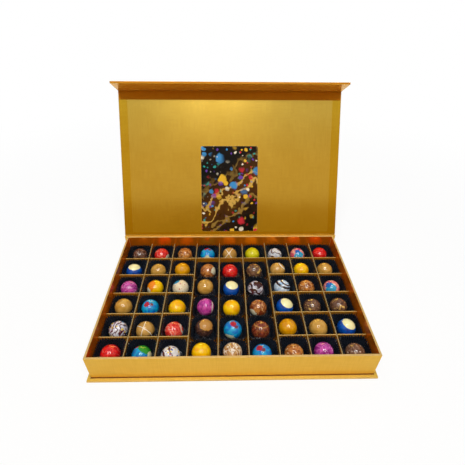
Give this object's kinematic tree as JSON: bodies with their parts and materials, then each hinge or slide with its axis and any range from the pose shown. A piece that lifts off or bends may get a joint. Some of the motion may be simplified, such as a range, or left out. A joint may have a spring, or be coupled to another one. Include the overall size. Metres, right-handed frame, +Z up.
{
  "type": "chocolate box",
  "caption": "Rigid gold gift box with a hinged lid and magnetic flap, open on a divided tray of ball-shaped chocolates in pleated paper cups.",
  "frame": {"origin": "centre of the tray's width and depth, on the underside of the base", "axes": "+X to the right along the width, +Y from the front wall to the hinge, +Z up; the lid stands open and leans back"},
  "size_m": [0.356, 0.3505, 0.2689],
  "materials": {
    "greyboard": "matte",
    "gold_wrap": "satin",
    "gold_lining": "satin",
    "gold_card": "satin",
    "printed_card": "gloss",
    "magnet": "satin",
    "steel_plate": "satin",
    "black_glassine": "satin",
    "dark_chocolate": "gloss",
    "red_chocolate": "gloss",
    "copper_chocolate": "gloss",
    "splash_chocolate": "gloss",
    "milk_chocolate": "gloss",
    "yellow_chocolate": "gloss",
    "white_chocolate": "gloss",
    "capped_chocolate": "gloss",
    "magenta_chocolate": "gloss"
  },
  "bodies": {
    "tray": {"base_board": "greyboard", "spine_board": "greyboard", "base_wrap": "gold_wrap", "spine_wrap": "gold_wrap", "tray_floor": "greyboard", "tray_front_wall": "greyboard", "tray_rear_wall": "greyboard", "tray_left_wall": "greyboard", "tray_right_wall": "greyboard", "tray_wrap": "gold_wrap", "tray_lining": "gold_lining", "catch_plates": "steel_plate"},
    "lid": {"lid_board": "greyboard", "lid_wrap": "gold_wrap", "lid_lining": "gold_lining", "lid_card": "printed_card"},
    "flap": {"flap_board": "greyboard", "flap_wrap": "gold_wrap", "flap_lining": "gold_lining", "flap_magnets": "magnet"},
    "divider_insert": {"long_divider_1": "gold_card", "long_divider_2": "gold_card", "long_divider_3": "gold_card", "long_divider_4": "gold_card", "long_divider_5": "gold_card", "long_divider_6": "gold_card", "long_divider_7": "gold_card", "long_divider_8": "gold_card", "rear_cross_divider": "gold_card", "left_cross_divider_1": "gold_card", "left_cross_divider_2": "gold_card", "left_cross_divider_3": "gold_card", "left_cross_divider_4": "gold_card", "right_cross_divider_1": "gold_card", "right_cross_divider_2": "gold_card", "right_cross_divider_3": "gold_card", "right_cross_divider_4": "gold_card"},
    "dark_pieces": {"dark_cups": "black_glassine", "dark_chocolates": "dark_chocolate"},
    "red_pieces": {"red_cups": "black_glassine", "red_chocolates": "red_chocolate"},
    "copper_pieces": {"copper_cups": "black_glassine", "copper_chocolates": "copper_chocolate"},
    "splash_pieces": {"splash_cups": "black_glassine", "splash_chocolates": "splash_chocolate"},
    "milk_pieces": {"milk_cups": "black_glassine", "milk_chocolates": "milk_chocolate"},
    "yellow_pieces": {"yellow_cups": "black_glassine", "yellow_chocolates": "yellow_chocolate"},
    "white_pieces": {"white_cups": "black_glassine", "white_chocolates": "white_chocolate"},
    "capped_pieces": {"capped_cups": "black_glassine", "capped_chocolates": "capped_chocolate"},
    "magenta_pieces": {"magenta_cups": "black_glassine", "magenta_chocolates": "magenta_chocolate"}
  },
  "joints": [
    {"name": "lid_hinge", "type": "hinge", "parent": "tray", "child": "lid", "pos_m": [0, 0.117, 0.04315], "axis": [-1, 0, 0], "range_deg": [-118.5, 61.5]},
    {"name": "flap_fold", "type": "hinge", "parent": "lid", "child": "flap", "pos_m": [0, 0.23162, 0.24787], "axis": [-1, 0, 0], "range_deg": [-1, 89]},
    {"name": "insert_lift", "type": "slide", "parent": "tray", "child": "divider_insert", "axis": [0, 0, 1], "range_m": [0, 0.05]},
    {"name": "dark_lift", "type": "slide", "parent": "tray", "child": "dark_pieces", "axis": [0, 0, 1], "range_m": [0, 0.06]},
    {"name": "red_lift", "type": "slide", "parent": "tray", "child": "red_pieces", "axis": [0, 0, 1], "range_m": [0, 0.06]},
    {"name": "copper_lift", "type": "slide", "parent": "tray", "child": "copper_pieces", "axis": [0, 0, 1], "range_m": [0, 0.06]},
    {"name": "splash_lift", "type": "slide", "parent": "tray", "child": "splash_pieces", "axis": [0, 0, 1], "range_m": [0, 0.06]},
    {"name": "milk_lift", "type": "slide", "parent": "tray", "child": "milk_pieces", "axis": [0, 0, 1], "range_m": [0, 0.06]},
    {"name": "yellow_lift", "type": "slide", "parent": "tray", "child": "yellow_pieces", "axis": [0, 0, 1], "range_m": [0, 0.06]},
    {"name": "white_lift", "type": "slide", "parent": "tray", "child": "white_pieces", "axis": [0, 0, 1], "range_m": [0, 0.06]},
    {"name": "capped_lift", "type": "slide", "parent": "tray", "child": "capped_pieces", "axis": [0, 0, 1], "range_m": [0, 0.06]},
    {"name": "magenta_lift", "type": "slide", "parent": "tray", "child": "magenta_pieces", "axis": [0, 0, 1], "range_m": [0, 0.06]}
  ]
}
